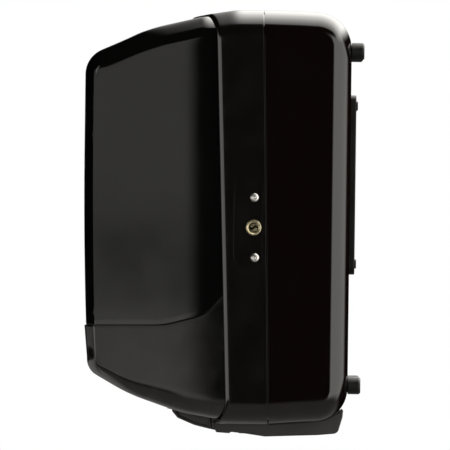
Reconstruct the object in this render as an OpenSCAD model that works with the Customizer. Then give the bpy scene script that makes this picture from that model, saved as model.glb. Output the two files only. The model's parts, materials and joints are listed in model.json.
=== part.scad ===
// Wall-mounted touch-free soap dispenser with a side-hinged, side-locked cover.
// Millimetres. +Z is up, the front faces -Y and the wall is the plane Y = 0.
// The origin is the centre of the four wall screw holes, on the wall.

/* [Shell] */
// Width across the side walls
shell_w = 200; // [196:1:204]
// Top of the shell above the centre of the wall holes
shell_top = 155.4; // [154:0.2:158]
// Bottom of the shell below the centre of the wall holes
shell_drop = 155; // [154:0.2:157]
// Distance from the wall to the back face of the housing
back_gap = 9.6; // [8:0.2:12]
// Distance from the wall to the housing and cover seam at mid height
seam_depth = 72.2; // [71:0.2:74]
// Forward lean of the seam and the cover, in degrees
seam_lean = 1.27; // [1:0.01:1.5]
// Wall thickness of the housing and of the cover frame
wall = 2.6; // [2.2:0.1:2.8]
// Radius of the long top and bottom edges, seen from the front
edge_r = 20; // [16:1:22]
// Radius of the housing's upright rear corners, seen from above
rear_r = 15; // [12:1:18]
// Gap between the housing and the cover at the seam
seam_gap = 0.5; // [0.4:0.1:0.8]

/* [Cover] */
// Depth of the cover frame at its sides, in front of the seam
frame_depth = 32.6; // [32:0.2:34]
// How far the frame's front edge bows forward at its middle
frame_bow = 19.5; // [18:0.5:21]
// Forward lean of the frame's front edge, in degrees
edge_lean = 1.96; // [1.8:0.01:2.1]
// Thickness of the smoked window
window_t = 2.4; // [2:0.1:2.6]
// Thickness of the chin shell
chin_t = 2.6; // [2.2:0.1:3]
// How far the chin stands proud of the window
chin_proud = 0.9; // [0.6:0.1:1]
// Half width of the open middle of the cover's underside
belly_half = 64; // [63:1:66]

/* [Hinge] */
// Distance of the hinge axis from the middle of the shell
hinge_x = 104.2; // [104.1:0.1:105]
// Height of each hinge above and below the middle
hinge_z = 105; // [95:1:110]
// Outer radius of a hinge knuckle
knuckle_r = 3.5; // [3.2:0.1:3.5]
// Radius of a hinge pin
hinge_pin_r = 1.5; // [1.2:0.1:1.6]
// Length of one knuckle
knuckle_len = 10; // [8:0.5:12]

/* [Lock] */
// Height of the key lock above the middle
lock_z = -7.6; // [-9:0.2:-6]
// Distance from the wall to the lock's axis
lock_depth = 81.4; // [81:0.2:82]
// Radius of the lock's face
lock_face_r = 5.75; // [5.5:0.05:6]
// Radius of the turning plug
plug_r = 3.6; // [3.4:0.1:3.8]
// Reach of the cam from the lock's axis
cam_reach = 16; // [14:0.5:17]
// Radius of a rivet head
rivet_r = 3.2; // [3:0.1:3.4]

/* [Wall fixing] */
// Distance between the wall holes, across
hole_pitch_x = 150; // [140:1:155]
// Distance between the wall holes, up and down
hole_pitch_z = 250; // [244:1:254]
// Radius of a wall screw hole
hole_r = 2.6; // [2.2:0.1:3]
// Outer radius of a standoff
standoff_r = 6.5; // [6:0.1:7]

/* [Pump] */
// Distance from the wall to the nozzle's axis
nozzle_depth = 103.2; // [102:0.2:104]
// Lift of the pump carriage in one stroke
stroke = 12; // [8:0.5:12]
// Bore radius of the pump cylinder
bore_r = 8; // [7.5:0.1:8.4]
// Radius of the guide rods
rod_r = 2.5; // [2:0.1:2.6]
// Radial running clearance of turning and sliding parts
run = 0.05; // [0.02:0.01:0.08]

/* [Gears] */
// Module of the rack and its pinion
rack_module = 1; // [1:1:1]
// Teeth on the rack pinion
rack_pinion_teeth = 16; // [16:1:16]
// Module of the reduction gears
gear_module = 0.8; // [0.8:0.1:0.8]
// Teeth on each driving pinion
pinion_teeth = 14; // [14:1:14]
// Teeth on the output gear
output_teeth = 40; // [40:1:40]
// Teeth on the idler gear
idler_teeth = 42; // [42:1:42]

/* [Tank] */
// Half width of the soap tank
tank_half = 66; // [60:1:66]
// Height of the soap tank's top above the middle
tank_top = 84; // [76:1:86]
// Wall thickness of the soap tank
tank_t = 2.2; // [1.8:0.1:2.6]
// Radius of the soap tank's upright corners
tank_r = 5; // [3:1:8]
// Height of the soap's surface above the middle
soap_level = 30; // [0:1:60]

/* [Hidden] */
$fn = 48;

half_w = shell_w / 2;
shell_bottom = -shell_drop;
back_y = -back_gap;
seam_y = -seam_depth;
nozzle_y = -nozzle_depth;
lock_y = -lock_depth;
frame_inner = half_w - wall;          // inside face of the frame's side walls
front_half = frame_inner - 0.3;       // outside face of the window and chin where they enter the frame
ledge_w = 2.8;                        // how far the frame's inner ledge reaches in
ledge_y = -20;                        // front face of that ledge, in the leaning seam's frame
arc_steps = 7;                        // straight steps on each rounded corner of an outline
tooth_steps = 5;                      // straight steps on each tooth flank
tray_half = 60;                       // half width of the tray under the body
tray_front = -111;                    // front end of the fixed tray
chassis_z = -145.6;                   // top face of the chassis plate
chassis_t = 3;
chassis_points = [[-16, -60], [-16, -42], [72, -60], [72, -42]];
deck_z = -47.3;                       // top face of the tank cradle
carriage_z = -134;                    // underside of the pump carriage at rest
carriage_t = 6;
cylinder_bottom = -104;
axle_r = 1.5;
rack_r = rack_module * rack_pinion_teeth / 2;
output_r = gear_module * output_teeth / 2;
idler_r = gear_module * idler_teeth / 2;
pinion_r = gear_module * pinion_teeth / 2;
output_at = [46, -116];               // X and Z of the output gear's axle
idler_dir = 65;                       // direction from the output axle to the idler axle
motor_dir = -35;                      // direction from the idler axle to the motor shaft
idler_at = output_at + (output_r + pinion_r) * [cos(idler_dir), sin(idler_dir)];
motor_at = idler_at + (idler_r + pinion_r) * [cos(motor_dir), sin(motor_dir)];
rack_layer = [-107, -99];             // Y span of the rack's pinion
output_layer = [-96, -92];            // Y span of the output gear and the idler's pinion
idler_layer = [-90, -86];             // Y span of the idler gear and the motor's pinion
rear_plate_y = -84;                   // front face of the rear gear plate
front_plate_y = -112;                 // rear face of the front gear plate
battery_y = [-80.5, -24.5];
battery_x = [-86, -28];
battery_z = [chassis_z, -88];
cell_r = 13.1;
cell_len = 50;
tank_y = [-144, -18];
tank_bottom = deck_z + 0.3;
lid_hinge_y = -80;
lid_half = 42;

// ---------- outlines and placing ----------

function unit(v) = v / norm(v);

// Points of the arc of radius r that rounds the corner b between a and c.
function corner(a, b, c, r, n) =
    let (u = unit(a - b), v = unit(c - b), half = acos(u * v) / 2,
         reach = r / tan(half), mid = b + unit(u + v) * r / sin(half),
         p = b + u * reach, q = b + v * reach,
         a0 = atan2(p[1] - mid[1], p[0] - mid[0]),
         a1 = atan2(q[1] - mid[1], q[0] - mid[0]),
         turn = (a1 - a0 + 540) % 360 - 180)
    [for (i = [0:n]) mid + r * [cos(a0 + turn * i / n), sin(a0 + turn * i / n)]];

// An outline from [x, y, radius] corners; a radius of 0 keeps a corner sharp.
function rounded(path, n = arc_steps) =
    let (m = len(path))
    [for (i = [0:m - 1])
        let (p = path[i], a = path[(i + m - 1) % m], c = path[(i + 1) % m])
        each p[2] > 0
            ? corner([a[0], a[1]], [p[0], p[1]], [c[0], c[1]], p[2], n)
            : [[p[0], p[1]]]];

// Draws Y,Z outlines and extrudes them along X.
module along_x(x0, x1) {
    translate([x0, 0, 0]) rotate([90, 0, 90]) linear_extrude(x1 - x0) children();
}

// Draws X,Z outlines and extrudes them along Y.
module along_y(y0, y1) {
    translate([0, y1, 0]) rotate([90, 0, 0]) linear_extrude(y1 - y0) children();
}

// Places children in the leaning frame of the seam, where y = 0 is the seam.
module on_seam() {
    rotate([seam_lean, 0, 0]) translate([0, seam_y, 0]) children();
}

module box(x, y, z) {
    translate([x[0], y[0], z[0]]) cube([x[1] - x[0], y[1] - y[0], z[1] - z[0]]);
}

module rod_x(x0, x1, y, z, r) {
    translate([x0, y, z]) rotate([0, 90, 0]) cylinder(r = r, h = x1 - x0);
}

module rod_y(y0, y1, x, z, r) {
    translate([x, y1, z]) rotate([90, 0, 0]) cylinder(r = r, h = y1 - y0);
}

module rod_z(z0, z1, x, y, r) {
    translate([x, y, z0]) cylinder(r = r, h = z1 - z0);
}

// A tube of radius r swept along points, closed at both ends.
module tube(points, r, sides = 8) {
    last = len(points) - 1;
    rings = [for (i = [0:last])
        let (d = unit(points[min(i + 1, last)] - points[max(i - 1, 0)]),
             side = unit(cross(abs(d[2]) > 0.9 ? [1, 0, 0] : [0, 0, 1], d)), up = cross(d, side))
        for (k = [0:sides - 1])
            points[i] + r * (cos(360 * k / sides) * side + sin(360 * k / sides) * up)];
    skin = [for (i = [0:last - 1], k = [0:sides - 1])
        let (a = i * sides + k, b = i * sides + (k + 1) % sides) [a, a + sides, b + sides, b]];
    start = [[for (k = [0:sides - 1]) k]];
    finish = [[for (k = [0:sides - 1]) (last + 1) * sides - 1 - k]];
    polyhedron(points = rings, faces = concat(skin, start, finish));
}

function coil_points(x, y, z0, z1, r, turns, per_turn = 14) =
    [for (i = [0:turns * per_turn])
        let (a = 360 * i / per_turn)
        [x + r * cos(a), y + r * sin(a), z0 + (z1 - z0) * i / (turns * per_turn)]];

// A smooth lead through hand-chosen points.
function smooth(p, n = 5) =
    [for (i = [0:len(p) - 2], k = [0:n - 1])
        let (a = p[max(i - 1, 0)], b = p[i], c = p[i + 1], d = p[min(i + 2, len(p) - 1)], t = k / n)
        0.5 * (2 * b + (c - a) * t + (2 * a - 5 * b + 4 * c - d) * t * t
               + (3 * b - a - 3 * c + d) * t * t * t),
     p[len(p) - 1]];

// ---------- gears ----------

function involute(a) = tan(a) * 180 / PI - a;

// One tooth's half angle at radius r on a gear of base radius rb.
function flank_angle(r, rb, half_pitch) =
    let (at = acos(min(1, rb / max(r, rb)))) half_pitch + involute(20) - involute(at);

// Outline of an involute gear with a little backlash.
function gear_outline(teeth, module_size, backlash = 0.12) =
    let (rp = teeth * module_size / 2, rb = rp * cos(20),
         tip = rp + 0.8 * module_size, root = rp - 1.1 * module_size,
         half_pitch = 90 / teeth - backlash / 2 / rp * 180 / PI,
         start = max(root, rb),
         radii = concat([root], [for (i = [0:tooth_steps]) start + (tip - start) * i / tooth_steps]))
    [for (k = [0:teeth - 1])
        let (mid = 360 * k / teeth)
        each concat(
            [for (r = radii) let (a = mid - flank_angle(r, rb, half_pitch)) r * [cos(a), sin(a)]],
            [for (i = [len(radii) - 1:-1:0])
                let (r = radii[i], a = mid + flank_angle(r, rb, half_pitch)) r * [cos(a), sin(a)]])];

module spur(teeth, module_size, layer, at, tooth_dir) {
    translate([at[0], 0, at[1]]) along_y(layer[0], layer[1])
        rotate(tooth_dir) polygon(gear_outline(teeth, module_size));
}

// ---------- outer forms ----------

module shell_front_view(inset) {
    r = edge_r - inset;
    polygon(rounded([
        [half_w - inset, shell_top - inset, r], [-half_w + inset, shell_top - inset, r],
        [-half_w + inset, shell_bottom + inset, r], [half_w - inset, shell_bottom + inset, r]]));
}

module housing_form(inset) {
    intersection() {
        along_x(-half_w, half_w) offset(delta = -inset) polygon(rounded([
            [seam_y - 20, shell_top + 0.4, 0], [-48.7, 154.5, 0], [back_y, 152.6, 27],
            [back_y, -151, 25], [-45, -152.8, 0], [seam_y - 20, -156, 0]]));
        along_y(seam_y - 30, 0) shell_front_view(inset);
        translate([0, 0, -200]) linear_extrude(400) offset(delta = -inset) polygon(rounded([
            [half_w, seam_y - 40, 0], [half_w, back_y, rear_r],
            [-half_w, back_y, rear_r], [-half_w, seam_y - 40, 0]]));
    }
}

// Everything in front of the seam, used to trim the housing.
module in_front_of_seam(gap) {
    on_seam() translate([-150, -300 - gap, -250]) cube([300, 300, 500]);
}

module frame_form(inset) {
    intersection() {
        along_x(-half_w, half_w) offset(delta = -inset) polygon(rounded([
            [-30, shell_top, 0], [-96, shell_top - 0.3, 60], [-135, 148.8, 0],
            [-135, shell_bottom, 0], [-30, shell_bottom, 0]]));
        along_y(-150, 0) shell_front_view(inset);
    }
}

// The bowed, leaning body that ends the cover frame at its front edge.
module behind_frame_edge() {
    edge_y = seam_y - frame_depth;
    bow_r = (half_w * half_w + frame_bow * frame_bow) / (2 * frame_bow);
    rotate([edge_lean, 0, 0]) translate([0, 0, -200]) linear_extrude(400) union() {
        translate([-150, edge_y]) square([300, 150]);
        intersection() {
            translate([0, edge_y - frame_bow + bow_r]) circle(r = bow_r, $fn = 180);
            translate([-half_w - 1, edge_y - 30]) square([shell_w + 2, 31]);
        }
    }
}

// Window and chin together: inset 0 is the chin's outer face.
module front_form(inset) {
    intersection() {
        along_x(-half_w, half_w) offset(delta = -inset) polygon(rounded([
            [-70, 152, 0], [-118, 150.8, 20], [-163, 140, 120], [-210.2, 119, 16],
            [-210, 45, 0], [-207.6, -84, 0], [-205.4, -117, 14], [-178, -132.6, 60],
            [-150, -143.2, 60], [-136.5, -146.9, 0], [-112, -151.3, 0], [-70, -152.4, 0]]));
        along_y(-230, -60) offset(delta = -inset) polygon(rounded([
            [front_half, 152.6, edge_r - 3], [-front_half, 152.6, edge_r - 3],
            [-front_half, -152.4, edge_r], [front_half, -152.4, edge_r]]));
        translate([0, 0, -200]) linear_extrude(400) offset(delta = -inset) polygon(rounded([
            [front_half, -60, 0], [front_half, -112, 60], [89.5, -204.8, 10], [45, -210.2, 60],
            [-45, -210.2, 60], [-89.5, -204.8, 10], [-front_half, -112, 60], [-front_half, -60, 0]]));
    }
}

// The space below the chin's upper lip, moved up by rise.
module chin_region(rise) {
    along_x(-150, 150) translate([0, rise]) polygon(rounded([
        [-230, -82.6, 0], [-150, -81.6, 60], [-118, -73.5, 30], [-96, -50, 0], [-60, -40, 0],
        [-60, -200, 0], [-230, -200, 0]]));
}

// ---------- housing group ----------

module housing_knuckle(z, front) {
    // front = -1 hangs the knuckle on the cover, 1 on the housing
    on_seam() {
        difference() {
            union() {
                rod_z(z, z + knuckle_len, -hinge_x, 0, knuckle_r);
                box([-hinge_x, -half_w + 2],
                    front > 0 ? [0.4, knuckle_r] : [-knuckle_r, -0.4], [z, z + knuckle_len]);
            }
            rod_z(z - 1, z + knuckle_len + 1, -hinge_x, 0, hinge_pin_r + (front > 0 ? 0 : run));
        }
    }
}

module back_housing() {
    color([0.03, 0.03, 0.03]) {
        difference() {
            union() {
                difference() {
                    housing_form(0);
                    difference() {
                        housing_form(wall);
                        box([-100, 100], [back_y - wall, 0], [-200, 200]);
                    }
                    in_front_of_seam(-seam_gap / 2);
                }
                // screw bosses inside the back wall, and pads that carry the chassis
                for (x = [-1, 1], z = [-1, 1])
                    rod_y(back_y - wall - 4, back_y - wall, x * hole_pitch_x / 2, z * hole_pitch_z / 2, 7);
                intersection() {
                    housing_form(wall / 2);
                    for (p = chassis_points) rod_z(shell_bottom, chassis_z - chassis_t, p[0], p[1], 6);
                }
                for (x = [-72, 60])
                    box([x, x + 12], [-30, back_y - 1], [deck_z - 4 - 10, deck_z - 4]);
            }
            for (x = [-1, 1], z = [-1, 1])
                rod_y(-40, 5, x * hole_pitch_x / 2, z * hole_pitch_z / 2, hole_r);
        }
        for (s = [-1, 1]) housing_knuckle(s * hinge_z - knuckle_len / 2, 1);
    }
}

module wall_standoffs() {
    color([0.05, 0.05, 0.05]) for (x = [-1, 1], z = [-1, 1])
        translate([x * hole_pitch_x / 2, 0, z * hole_pitch_z / 2]) rotate([90, 0, 0])
            rotate_extrude() polygon([
                [hole_r, 0], [standoff_r - 1, 0], [standoff_r, 1.2],
                [standoff_r, back_gap], [hole_r, back_gap]]);
}

module rear_access_plate() {
    color([0.06, 0.06, 0.06]) difference() {
        along_y(back_y, -5.8) polygon(rounded([
            [60, 92.5, 6], [-60, 92.5, 6], [-60, -42, 6], [60, -42, 6]]));
        for (x = [-52, 52], z = [-34, 84.5]) rod_y(back_y - 1, 0, x, z, 1.8);
    }
}

module rear_plate_screws() {
    color("silver") for (x = [-52, 52], z = [-34, 84.5])
        difference() {
            union() {
                rod_y(back_y, -5.8, x, z, 1.8);
                rod_y(-5.8, -4.2, x, z, 3.4);
            }
            rod_y(-5, -4, x, z, 1.5);
        }
}

module hinge_pins() {
    color("silver") for (s = [-1, 1]) on_seam() {
        rod_z(s * hinge_z - 1.5 * knuckle_len - 1, s * hinge_z + 1.5 * knuckle_len + 1,
              -hinge_x, 0, hinge_pin_r);
        rod_z(s * hinge_z + 1.5 * knuckle_len + 0.8, s * hinge_z + 1.5 * knuckle_len + 1.8,
              -hinge_x, 0, hinge_pin_r + 1.1);
    }
}

module lock_striker() {
    color("dimgray") {
        box([89, 92], [-90.2, -66], [2, 10]);
        box([80, 89], [-90.2, -86.2], [2, 10]);
        box([89, frame_inner], [-66, -56], [-4, 16]);
    }
}

module bottom_tray() {
    color([0.07, 0.07, 0.07]) difference() {
        along_x(-tray_half, tray_half) polygon(rounded([
            [tray_front, -148.6, 0], [tray_front, -159.2, 1], [-85, -162.2, 0], [-71, -164.2, 8],
            [-31, -162.6, 0], [-16.5, -161.4, 4], [-12.8, -149, 6], [-12.2, -141.6, 0],
            [-22, -146, 0], [-69, -148.6, 0]]));
        housing_form(-0.01);
        rod_z(-170, -140, 0, nozzle_y, 6.4);
        rod_z(-170, -140, 0, -86, 4.5);
        rod_z(-170, -140, 16, -86, 1.6);
        for (x = [-48, 48]) rod_z(-170, -140, x, -98, 1.8);
        for (x = [-1, 1]) box([x * 32 - 14, x * 32 + 14], [-94, -76], [-156, -140]);
    }
}

module tray_screws() {
    color("silver") for (x = [-48, 48]) difference() {
        union() {
            rod_z(-157.5, -148.6, x, -98, 1.8);
            rod_z(-159.6, -157.5, x, -98, 1.8);
        }
        rod_z(-160, -158.6, x, -98, 1);
    }
}

module sensor_lens() {
    color([0.15, 0.02, 0.05]) {
        rod_z(-162.6, -152, 0, -86, 4.5);
    }
}

module status_led() {
    color("white") rod_z(-162.6, -152, 16, -86, 1.6);
}

module sensor_board() {
    color("darkgreen") box([-10, 22], [-92, -80], [-148.6, -147.2]);
}

module drive_chassis() {
    color([0.16, 0.16, 0.17]) difference() {
        union() {
            box([-60, 64], [-116, -66], [chassis_z - chassis_t, chassis_z]);
            box([63, 78], [-104, -66], [chassis_z - chassis_t, chassis_z]);
            intersection() {
                box([-88, 88], [-67, -16], [chassis_z - chassis_t, chassis_z]);
                housing_form(wall + 0.3);
            }
        }
        rod_z(-155, -140, 0, nozzle_y, 9);
        box([-12, 24], [-94, -78], [-155, chassis_z - 1]);
        for (x = [-1, 1]) rod_z(-155, -140, x * 22, nozzle_y, rod_r);
        for (p = chassis_points) rod_z(-155, -140, p[0], p[1], 1.8);
    }
}

module chassis_screws() {
    color("silver") for (p = chassis_points) difference() {
        union() {
            rod_z(chassis_z - chassis_t, chassis_z, p[0], p[1], 1.8);
            rod_z(chassis_z, chassis_z + 2, p[0], p[1], 3.4);
        }
        rod_z(chassis_z + 0.8, chassis_z + 3, p[0], p[1], 1.5);
    }
}

module guide_rods() {
    color("silver") for (x = [-22, 22]) rod_z(-148.6, deck_z - 4, x, nozzle_y, rod_r);
}

// ---------- pump ----------

module pump_cylinder() {
    color([0.75, 0.75, 0.72]) difference() {
        union() {
            rod_z(cylinder_bottom, -61, 0, nozzle_y, 13);
            rod_z(-62, deck_z - 1.5, 0, nozzle_y, 16);
        }
        rod_z(cylinder_bottom - 1, -70, 0, nozzle_y, bore_r);
        rod_z(-71, -55, 0, nozzle_y, 4);
        rod_z(-60, deck_z, 0, nozzle_y, 13);
    }
}

module pump_seal() {
    color([0.1, 0.1, 0.1]) difference() {
        rod_z(-58, -53, 0, nozzle_y, 13);
        rod_z(-59, -52, 0, nozzle_y, 11 + run);
    }
}

module pump_carriage() {
    color([0.85, 0.85, 0.8]) difference() {
        union() {
            box([-27, 27], [nozzle_y - 11, nozzle_y + 11], [carriage_z, carriage_z + carriage_t]);
            for (x = [-22, 22]) rod_z(carriage_z, carriage_z + 11, x, nozzle_y, 4.6);
            rack_pitch_x = output_at[0] - rack_r;
            box([26, rack_pitch_x - 1.1 * rack_module],
                [rack_layer[0] - 0.5, rack_layer[1] + 0.5], [carriage_z, -96.5]);
            rack_teeth(rack_pitch_x);
        }
        for (x = [-22, 22]) rod_z(carriage_z - 1, carriage_z + 20, x, nozzle_y, rod_r + run);
        rod_z(carriage_z - 1, carriage_z + 20, 0, nozzle_y, 5);
    }
}

// Straight-sided teeth that mesh with the rack pinion's involute teeth.
module rack_teeth(pitch_x) {
    pitch = PI * rack_module;
    half_tooth = pitch / 4 - 0.06;
    for (k = [-5:5]) {
        z = output_at[1] + (k + 0.5) * pitch;
        if (z - pitch / 2 > carriage_z && z + pitch / 2 < -96.5)
            along_y(rack_layer[0] - 0.5, rack_layer[1] + 0.5) polygon([
                [pitch_x - 1.2 * rack_module, z - half_tooth - 1.1 * rack_module * tan(20)],
                [pitch_x + 0.8 * rack_module, z - half_tooth + 0.8 * rack_module * tan(20)],
                [pitch_x + 0.8 * rack_module, z + half_tooth - 0.8 * rack_module * tan(20)],
                [pitch_x - 1.2 * rack_module, z + half_tooth + 1.1 * rack_module * tan(20)]]);
    }
}

module piston() {
    color([0.9, 0.9, 0.88]) difference() {
        union() {
            rod_z(-140, -96, 0, nozzle_y, 5);
            rod_z(-96, -92, 0, nozzle_y, bore_r - run);
            rod_z(-92, -89, 0, nozzle_y, bore_r - 1.6);
            rod_z(-89, -86, 0, nozzle_y, bore_r - run);
        }
        rod_z(-141, -85, 0, nozzle_y, 2);
    }
}

module piston_seal() {
    color([0.1, 0.1, 0.1]) difference() {
        rod_z(-92, -89, 0, nozzle_y, bore_r - run);
        rod_z(-93, -88, 0, nozzle_y, bore_r - 1.6);
    }
}

module nozzle() {
    color([0.12, 0.12, 0.12]) difference() {
        union() {
            rod_z(-161.5, -140, 0, nozzle_y, 4.85);
            rod_z(-141, carriage_z, 0, nozzle_y, 7);
        }
        rod_z(-162, -130, 0, nozzle_y, 2);
        rod_z(-140, -130, 0, nozzle_y, 5);
    }
}

module pump_spring() {
    color("silver") tube(coil_points(0, nozzle_y, carriage_z + carriage_t + 0.7,
        cylinder_bottom - 0.7, 8.8, 5), 0.6);
}

// ---------- drive ----------

module gear_plate_rear() {
    color([0.2, 0.2, 0.21]) difference() {
        box([30, 88], [rear_plate_y, rear_plate_y + 2], [chassis_z, -72]);
        for (at = [output_at, idler_at]) rod_y(-90, -70, at[0], at[1], axle_r);
        rod_y(-90, -70, motor_at[0], motor_at[1], 3);
    }
}

module gear_plate_front() {
    color([0.2, 0.2, 0.21]) difference() {
        union() {
            box([34, 78], [front_plate_y - 2, front_plate_y], [chassis_z, -76]);
            box([74, 78], [front_plate_y, rear_plate_y], [-88, -80]);
        }
        for (at = [output_at, idler_at]) rod_y(-120, -100, at[0], at[1], axle_r);
    }
}

module gear_axles() {
    color("silver") for (at = [output_at, idler_at])
        rod_y(front_plate_y - 2, rear_plate_y + 2, at[0], at[1], axle_r);
}

module motor_case() {
    color("gray") {
        rod_y(rear_plate_y + 2, rear_plate_y + 32, motor_at[0], motor_at[1], 12);
        rod_y(rear_plate_y + 32, rear_plate_y + 34.5, motor_at[0], motor_at[1], 4);
    }
}

module motor_pinion() {
    color("goldenrod") {
        spur(pinion_teeth, gear_module, idler_layer, motor_at,
             motor_dir + 180 + 180 / pinion_teeth);
        rod_y(idler_layer[1] - 1, rear_plate_y + 1.8, motor_at[0], motor_at[1], 1.2);
    }
}

module idler_gear() {
    color([0.9, 0.9, 0.86]) difference() {
        union() {
            spur(idler_teeth, gear_module, idler_layer, idler_at, motor_dir);
            spur(pinion_teeth, gear_module, [output_layer[0], idler_layer[0]], idler_at,
                 idler_dir + 180 + 180 / pinion_teeth);
        }
        rod_y(-120, -70, idler_at[0], idler_at[1], axle_r + run);
    }
}

module output_gear() {
    color([0.9, 0.9, 0.86]) difference() {
        union() {
            spur(output_teeth, gear_module, output_layer, output_at, idler_dir);
            spur(rack_pinion_teeth, rack_module, [rack_layer[0], output_layer[0]], output_at, 180);
        }
        rod_y(-120, -70, output_at[0], output_at[1], axle_r + run);
    }
}

// ---------- power and control ----------

module battery_box() {
    t = 1.6;
    ear_y = battery_y[0] - 2.6;
    color([0.12, 0.12, 0.12]) difference() {
        union() {
            difference() {
                box(battery_x, battery_y, battery_z);
                box([battery_x[0] + t, battery_x[1] - t], [battery_y[0] - 1, battery_y[1] - t],
                    [battery_z[0] + t, battery_z[1] - t]);
            }
            for (x = [battery_x[0], battery_x[1] - t])
                box([x, x + t], [ear_y - 2.4, battery_y[0]], [battery_z[0], battery_z[0] + 5]);
        }
        rod_x(battery_x[0] - 1, battery_x[1] + 1, ear_y, battery_z[0] + 2.8, 1.2 + run);
    }
}

function cell_centres() =
    let (cx = (battery_x[0] + battery_x[1]) / 2, cz = (battery_z[0] + battery_z[1]) / 2)
    [for (x = [-1, 1], z = [-1, 1]) [cx + x * (cell_r + 0.3), cz + z * (cell_r + 0.3)]];

module batteries() {
    color("goldenrod") for (c = cell_centres()) {
        rod_y(battery_y[0] + 2, battery_y[0] + cell_len, c[0], c[1], cell_r);
        rod_y(battery_y[0] + 0.6, battery_y[0] + 2, c[0], c[1], 3);
    }
}

module battery_springs() {
    color("silver") for (c = cell_centres()) translate([c[0], battery_y[0] + cell_len, c[1]])
        rotate([-90, 0, 0]) tube(coil_points(0, 0, 0.45, 3.9, 5, 2), 0.4, 6);
}

module battery_door() {
    ear_y = battery_y[0] - 2.6;
    inner = [battery_x[0] + 2, battery_x[1] - 2];
    color([0.14, 0.14, 0.14]) {
        box(inner, [battery_y[0] - 3, battery_y[0] - 0.6], [battery_z[0] + 4.6, battery_z[1]]);
        box([inner[0] + 18, inner[1] - 18], [battery_y[0] - 4.4, battery_y[0] - 3],
            [battery_z[1] - 6, battery_z[1] - 2]);
        rod_x(inner[0], inner[1], ear_y, battery_z[0] + 2.8, 2.2);
        box(inner, [battery_y[0] - 3, battery_y[0] - 0.8], [battery_z[0] + 2.8, battery_z[0] + 5]);
        rod_x(battery_x[0] - 0.4, battery_x[1] + 0.4, ear_y, battery_z[0] + 2.8, 1.2);
    }
}

module circuit_board() {
    color("darkgreen") {
        box([4, 58], [-30, -28.4], [chassis_z, -92]);
    }
}

module board_parts() {
    color([0.1, 0.1, 0.1]) {
        box([16, 30], [-32.4, -30], [-124, -110]);
        box([38, 50], [-33, -30], [-106, -96]);
        for (x = [12, 20, 28]) rod_y(-37, -30, x, -100, 2.6);
    }
}

module switch_body() {
    color([0.1, 0.1, 0.1]) difference() {
        box([-54, -38], [-113, -103], [chassis_z, -139]);
        box([-50.5, -41.5], [-110.2, -105.8], [-143, -138]);
    }
}

module switch_knob() {
    color("red") box([-50, -46.5], [-109.9, -106.1], [-142.8, -136.5]);
}

module battery_leads() {
    color("red") tube(smooth([
        [battery_x[1] + 0.2, -40, -96], [-22, -40, -96], [-10, -38, -100], [0, -33.5, -110],
        [8, -32.2, -114], [13.6, -31.2, -115.8], [15.5, -31.2, -116.6]]), 0.9);
}

module motor_leads() {
    color("royalblue") tube(smooth([
        [motor_at[0], rear_plate_y + 32.4, motor_at[1] + 8], [motor_at[0], -46, motor_at[1] + 8],
        [68, -39, -101.5], [58, -34, -101], [50.4, -31.4, -101]]), 0.9);
}

// ---------- tank ----------

module tank_outline(inset) {
    offset(delta = -inset) polygon(rounded([
        [tank_half, tank_y[0], tank_r], [-tank_half, tank_y[0], tank_r],
        [-tank_half, tank_y[1], tank_r], [tank_half, tank_y[1], tank_r]]));
}

module tank_cradle() {
    color([0.15, 0.15, 0.16]) difference() {
        union() {
            translate([0, 0, deck_z - 4]) linear_extrude(4) tank_outline(-3);
            translate([0, 0, deck_z]) linear_extrude(7) difference() {
                tank_outline(-3);
                tank_outline(-1);
            }
            box([-72, -60], [-30, back_y - wall], [deck_z - 4, deck_z]);
            box([60, 72], [-30, back_y - wall], [deck_z - 4, deck_z]);
        }
        rod_z(deck_z - 5, deck_z + 1, 0, nozzle_y, 16);
    }
}

module soap_tank() {
    color([0.8, 0.85, 0.85, 0.6]) difference() {
        union() {
            translate([0, 0, tank_bottom])
                linear_extrude(tank_top - tank_t - tank_bottom) tank_outline(0);
            rod_z(-56, tank_bottom + 1, 0, nozzle_y, 11);
        }
        translate([0, 0, tank_bottom + tank_t]) linear_extrude(tank_top - tank_bottom) tank_outline(tank_t);
        rod_z(-60, tank_bottom + 5, 0, nozzle_y, 8.5);
    }
}

// The tank's welded top, with the filler mouth and the lid's hinge lugs
module tank_top_plate() {
    color([0.8, 0.85, 0.85, 0.8]) difference() {
        union() {
            translate([0, 0, tank_top - tank_t]) linear_extrude(tank_t) tank_outline(0);
            for (x = [-lid_half + 6, lid_half - 10])
                box([x, x + 4], [lid_hinge_y - 2.6, lid_hinge_y + 2.6], [tank_top - 1, tank_top + 5.6]);
        }
        box([-lid_half + 4, lid_half - 4], [-122, lid_hinge_y - 8], [tank_top - 5, tank_top + 1]);
        rod_x(-60, 60, lid_hinge_y, tank_top + 3, 1.2);
    }
}

module liquid_soap() {
    color([0.9, 0.6, 0.7, 0.7]) {
        translate([0, 0, tank_bottom + tank_t])
            linear_extrude(soap_level - tank_bottom - tank_t) tank_outline(tank_t);
        rod_z(-55.8, tank_bottom + tank_t, 0, nozzle_y, 8.5);
    }
}

module tank_gauge() {
    color("white") for (z = [-30:15:60])
        box([-12, z % 30 == 0 ? 2 : -4], [tank_y[0] - 0.5, tank_y[0]], [z, z + 1]);
}

module tank_lid() {
    color([0.2, 0.2, 0.2]) difference() {
        union() {
            box([-lid_half, lid_half], [-126, lid_hinge_y - 6], [tank_top + 0.3, tank_top + 2.8]);
            box([-lid_half + 13, lid_half - 13], [lid_hinge_y - 6.5, lid_hinge_y],
                [tank_top + 1.2, tank_top + 2.8]);
            rod_x(-lid_half + 10.5, lid_half - 10.5, lid_hinge_y, tank_top + 3, 2.5);
            box([-12, 12], [-128.5, -126], [tank_top + 0.3, tank_top + 2.8]);
        }
        rod_x(-60, 60, lid_hinge_y, tank_top + 3, 1.2 + run);
    }
}

module lid_pin() {
    color("silver") rod_x(-lid_half + 6, lid_half - 6, lid_hinge_y, tank_top + 3, 1.2);
}

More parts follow.
